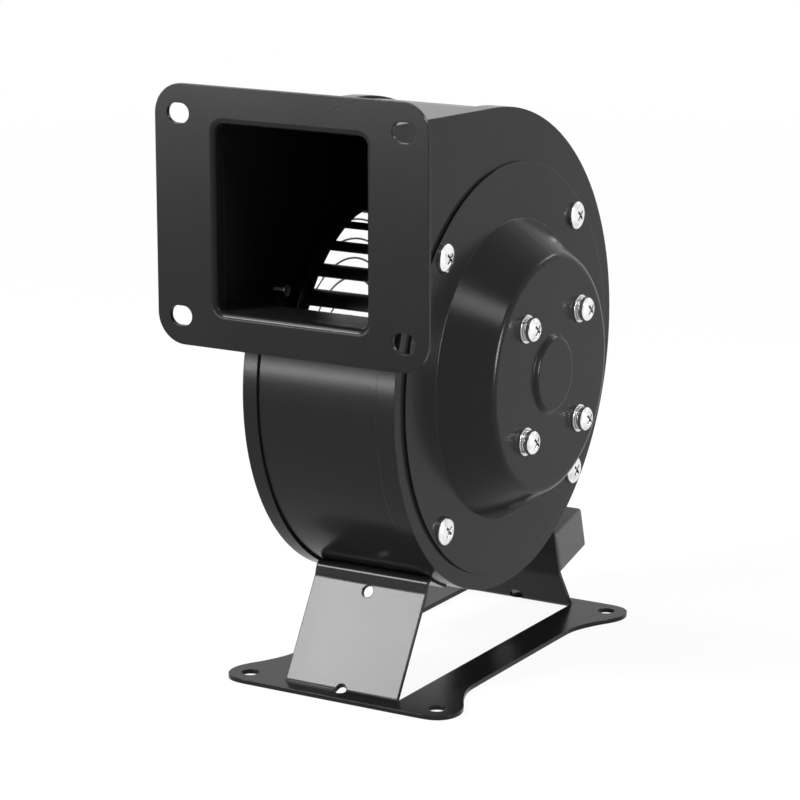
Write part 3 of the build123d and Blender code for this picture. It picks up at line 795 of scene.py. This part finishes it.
@dataclass
class Softbox:
    """A rectangular lamp that looks at the fan."""

    name: str
    place: Place
    width: float
    height: float
    radiance: float
    aim: Place = (0.0, 0.0, 0.1)

    def build(self) -> None:
        """Hang the lamp; its power follows its size, so that its face keeps its radiance."""
        bpy.ops.object.light_add(type="AREA", location=self.place)
        lamp = bpy.context.object
        lamp.name = self.name
        sight = Vector(self.aim) - Vector(self.place)
        lamp.rotation_euler = sight.to_track_quat("-Z", "Y").to_euler()
        lamp.data.shape = "RECTANGLE"
        lamp.data.size = self.width
        lamp.data.size_y = self.height
        lamp.data.energy = self.radiance * self.width * self.height * pi
        log.info("lamp %s", self.name)


@dataclass
class Studio:
    """White sweep, soft lamps and the camera."""

    floor_size: float = 8.0
    floor_drop: float = 0.2 * MM
    floor_colour: Colour = (0.92, 0.92, 0.92)
    white: tuple[float, ...] = (1.0, 1.0, 1.0, 1.0)
    shadow_share: float = 0.08
    shadow_span: Span = (0.3, 1.4)
    fill: float = 0.15
    camera_place: Place = (0.5094, -0.8876, 0.3361)
    camera_pitch: float = 76.35
    camera_turn: float = 30.51
    camera_near: float = 0.01
    lens: float = 138.9
    sensor: float = 36.0

    def softboxes(self) -> list[Softbox]:
        """List the lamps round the fan.

        Returns:
            The softboxes, from the front to the rear.
        """
        return [
            Softbox("key", (-0.668, -0.947, 0.79), 0.26, 0.26, 84.0),
            Softbox("low_front", (-0.74, -1.25, 0.135), 0.8, 0.06, 72.0),
            Softbox("high_front", (-0.6, -0.52, 1.05), 0.18, 0.13, 42.0),
            Softbox("overhead", (-0.62, 0.12, 1.15), 0.2, 0.2, 36.0),
            Softbox("tall_right", (1.1, -0.02, 0.25), 0.17, 0.34, 84.0),
            Softbox("right_front", (0.86, -0.4, 1.08), 0.3, 0.28, 16.0),
            Softbox("rear_right", (0.55, 1.25, 0.75), 0.6, 0.12, 12.0),
        ]

    def white_rays(self, graph: Graph) -> Signal:
        """Find the rays that see plain white: the camera's, and those off gloss or through glass.

        Args:
            graph: the tree to add the nodes to.

        Returns:
            A mask that is 1 on those rays.
        """
        paths = graph.node("ShaderNodeLightPath")
        seen = paths["Is Camera Ray"] + paths["Is Glossy Ray"] + paths["Is Transmission Ray"]
        return seen.clamped()

    def floor(self) -> None:
        """Lay the floor, white to the camera but for a soft shadow round the fan."""
        bpy.ops.mesh.primitive_plane_add(size=self.floor_size, location=(0.0, 0.0, -self.floor_drop))
        floor = bpy.context.object
        floor.name = "studio_floor"
        graph = Graph(bpy.data.materials.new("studio_white"))
        lit = graph.node("ShaderNodeBsdfDiffuse", inputs={"Color": (*self.floor_colour, 1.0)})["BSDF"]
        white = graph.node("ShaderNodeEmission", inputs={"Color": self.white})["Emission"]
        length = {"operation": "LENGTH"}
        distance = graph.node("ShaderNodeVectorMath", length, {0: graph.place()})["Value"]
        shadow = self.shadow_share * (1.0 - distance.ramp(*self.shadow_span))
        share = self.white_rays(graph) * (1.0 - shadow)
        mixed = graph.node("ShaderNodeMixShader", inputs={0: share, 1: lit, 2: white})["Shader"]
        graph.node("ShaderNodeOutputMaterial", inputs={"Surface": mixed})
        floor.data.materials.append(graph.owner)

    def surround(self) -> None:
        """White surround for the camera, an even grey fill for everything else."""
        graph = Graph(bpy.data.worlds.new("surround"))
        bpy.context.scene.world = graph.owner
        grey = (self.fill, self.fill, self.fill, 1.0)
        dim = graph.node("ShaderNodeBackground", inputs={"Color": grey})["Background"]
        white = graph.node("ShaderNodeBackground", inputs={"Color": self.white})["Background"]
        sockets = {0: self.white_rays(graph), 1: dim, 2: white}
        mixed = graph.node("ShaderNodeMixShader", inputs=sockets)["Shader"]
        graph.node("ShaderNodeOutputWorld", inputs={"Surface": mixed})

    def camera(self) -> None:
        """Stand the camera at the photograph's viewing angle."""
        turn = (radians(self.camera_pitch), 0.0, radians(self.camera_turn))
        bpy.ops.object.camera_add(location=self.camera_place, rotation=turn)
        camera = bpy.context.object
        camera.data.lens = self.lens
        camera.data.sensor_width = self.sensor
        camera.data.clip_start = self.camera_near
        bpy.context.scene.camera = camera

    def build(self) -> None:
        """Set up the whole studio."""
        self.floor()
        self.surround()
        for box in self.softboxes():
            box.build()
        self.camera()
        bpy.context.scene.view_settings.view_transform = "Standard"


def main() -> None:
    """Dress the fan, trim its base and set up the studio."""
    logging.basicConfig(level=logging.INFO, format="%(name)s: %(message)s")
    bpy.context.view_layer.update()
    bpy.ops.object.select_all(action="DESELECT")
    Finishes().dress()
    BaseSheet().build()
    Studio().build()


if __name__ == "__main__":
    main()
